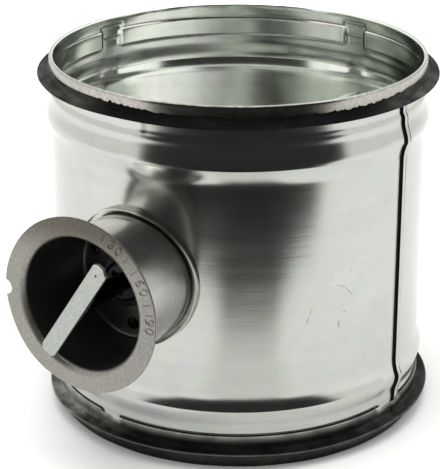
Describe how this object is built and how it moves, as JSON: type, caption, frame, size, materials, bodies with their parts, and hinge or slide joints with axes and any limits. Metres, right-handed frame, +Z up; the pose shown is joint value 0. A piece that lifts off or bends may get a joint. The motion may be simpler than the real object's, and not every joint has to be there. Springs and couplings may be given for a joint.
{
  "type": "manual duct damper",
  "caption": "Round sheet-metal duct damper with lip-sealed spigots, a stand-off handle collar with a degree scale, and a flat cast lever that turns a round blade.",
  "frame": {"origin": "duct axis in the plane of the lower rim", "axes": "+Z up the duct, -Y out through the handle collar, the shell's lock seam on +X"},
  "size_m": [0.1694, 0.2021, 0.1553],
  "materials": {
    "galvanised": "galvanised, satin, softly brushed round the duct",
    "collar_zinc": "warm grey zinc, fine speckle on the flange",
    "lever_zinc": "pale matte grey",
    "plain_steel": "plain zinc-plated steel",
    "seal_rubber": "satin black rubber",
    "black_nylon": "fine matte"
  },
  "bodies": {
    "duct": {"duct_shell": "galvanised", "seal_top": "seal_rubber", "seal_bottom": "seal_rubber", "handle_collar": "collar_zinc", "saddle_plate": "galvanised", "collar_rivets": "plain_steel", "near_bush": "black_nylon", "far_bush": "black_nylon"},
    "rotor": {"drive_shaft": "plain_steel", "far_pivot": "plain_steel", "shaft_o_ring": "seal_rubber", "blade": "galvanised", "blade_rivets": "plain_steel", "lever": "lever_zinc", "lever_pin": "plain_steel", "stop_washer": "galvanised", "disc_spring": "plain_steel", "retaining_clip": "plain_steel"}
  },
  "joints": [
    {"name": "blade_turn", "type": "hinge", "parent": "duct", "child": "rotor", "pos_m": [0, 0, 0.0798], "axis": [0, -1, 0], "range_deg": [-52.5, 37.5]}
  ]
}
